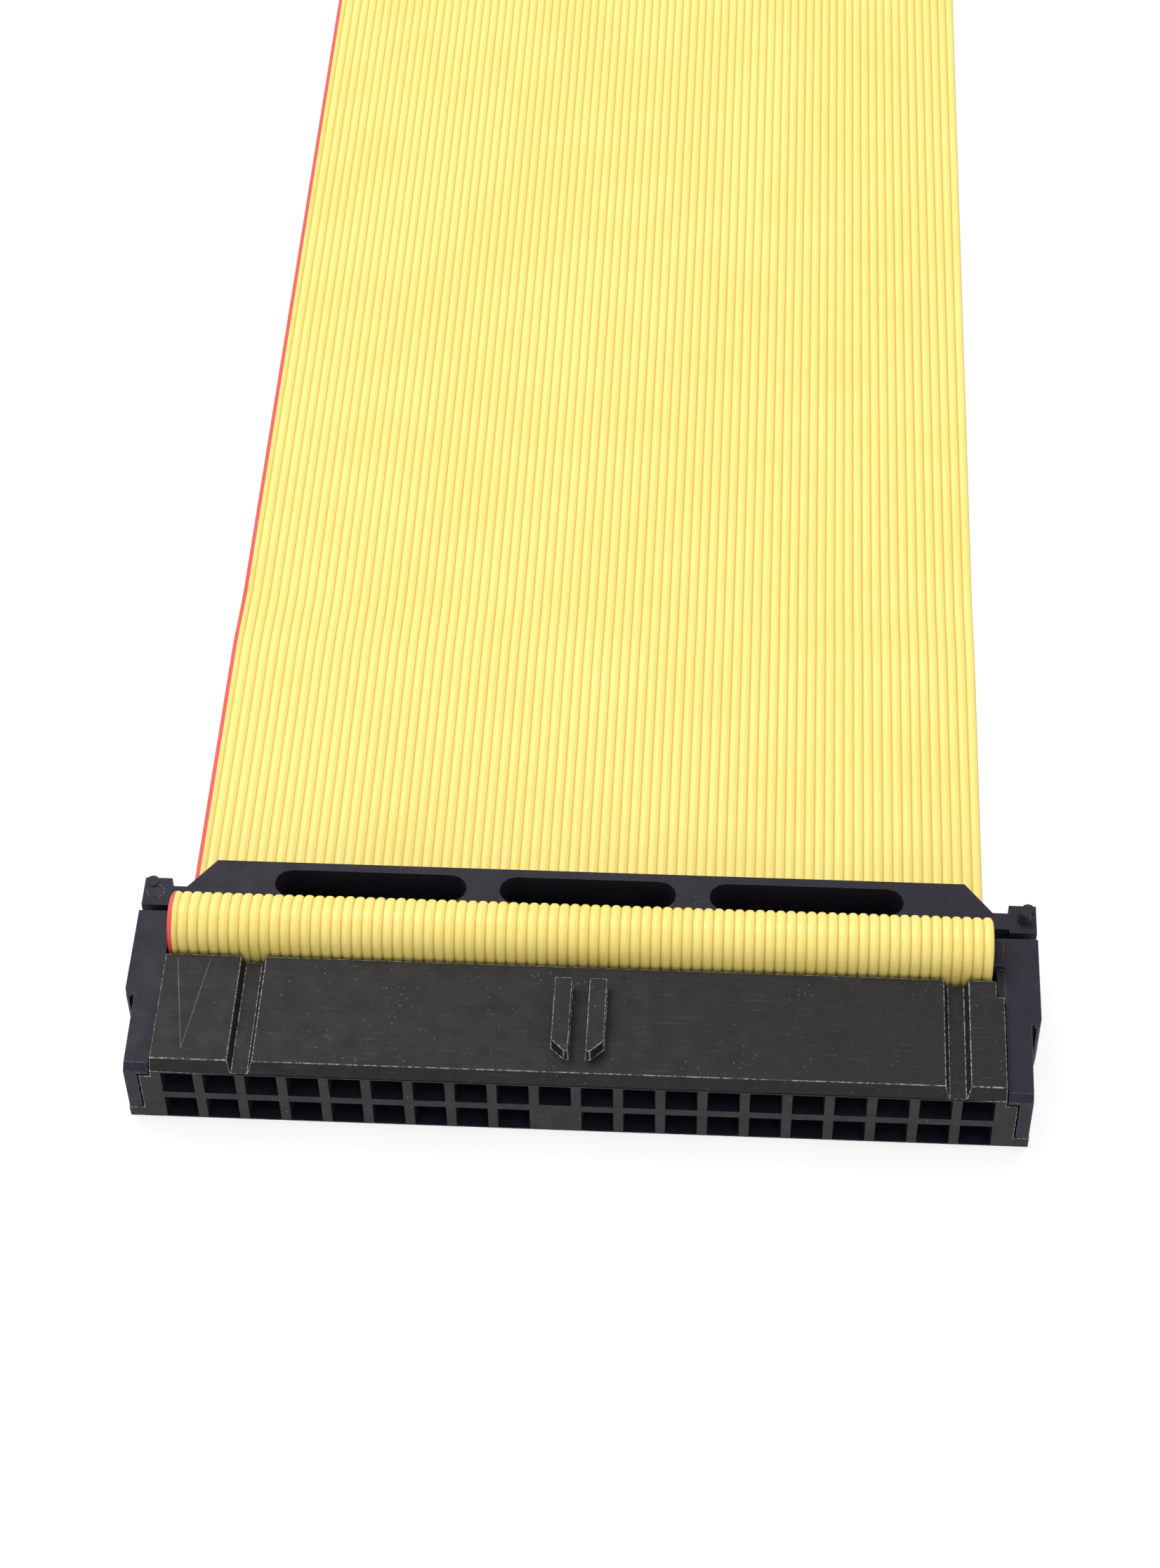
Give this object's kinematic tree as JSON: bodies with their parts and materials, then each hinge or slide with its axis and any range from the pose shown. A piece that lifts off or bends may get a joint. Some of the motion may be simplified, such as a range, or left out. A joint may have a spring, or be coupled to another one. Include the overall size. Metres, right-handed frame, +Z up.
{
  "type": "ide ribbon cable",
  "caption": "Flat many-conductor ribbon cable with black two-row push-on sockets and strain reliefs, for disk drives.",
  "frame": {"origin": "centre of the near socket's mating face, between its two rows of cells", "axes": "+X along the rows of cells, +Y from the mating face along the cable, +Z up out of the keyed side"},
  "size_m": [0.0566, 0.2665, 0.0081],
  "materials": {
    "socket_plastic": "moulded charcoal plastic with fine scratches",
    "cover_plastic": "moulded violet-black plastic",
    "contact_metal": "plated copper alloy strip",
    "ribbon_plastic": "yellow ribbed insulation with one red edge wire",
    "tie_plastic": "natural nylon"
  },
  "bodies": {
    "root": {"contact_lower_01": "contact_metal", "contact_lower_02": "contact_metal", "contact_lower_03": "contact_metal", "contact_lower_04": "contact_metal", "contact_lower_05": "contact_metal", "contact_lower_06": "contact_metal", "contact_lower_07": "contact_metal", "contact_lower_08": "contact_metal", "contact_lower_09": "contact_metal", "contact_lower_11": "contact_metal", "contact_lower_12": "contact_metal", "contact_lower_13": "contact_metal", "contact_lower_14": "contact_metal", "contact_lower_15": "contact_metal", "contact_lower_16": "contact_metal", "contact_lower_17": "contact_metal", "contact_lower_18": "contact_metal", "contact_lower_19": "contact_metal", "contact_lower_20": "contact_metal", "contact_upper_01": "contact_metal", "contact_upper_02": "contact_metal", "contact_upper_03": "contact_metal", "contact_upper_04": "contact_metal", "contact_upper_05": "contact_metal", "contact_upper_06": "contact_metal", "contact_upper_07": "contact_metal", "contact_upper_08": "contact_metal", "contact_upper_09": "contact_metal", "contact_upper_10": "contact_metal", "contact_upper_11": "contact_metal", "contact_upper_12": "contact_metal", "contact_upper_13": "contact_metal", "contact_upper_14": "contact_metal", "contact_upper_15": "contact_metal", "contact_upper_16": "contact_metal", "contact_upper_17": "contact_metal", "contact_upper_18": "contact_metal", "contact_upper_19": "contact_metal", "contact_upper_20": "contact_metal", "far_cover": "cover_plastic", "far_ground_bar": "contact_metal", "far_socket_body": "socket_plastic", "far_strain_relief": "cover_plastic", "hank_tie": "tie_plastic", "near_cover": "cover_plastic", "near_ground_bar": "contact_metal", "near_socket_body": "socket_plastic", "near_strain_relief": "cover_plastic", "ribbon_cable": "ribbon_plastic", "ribbon_far_end": "ribbon_plastic", "ribbon_hank": "ribbon_plastic"}
  },
  "joints": []
}
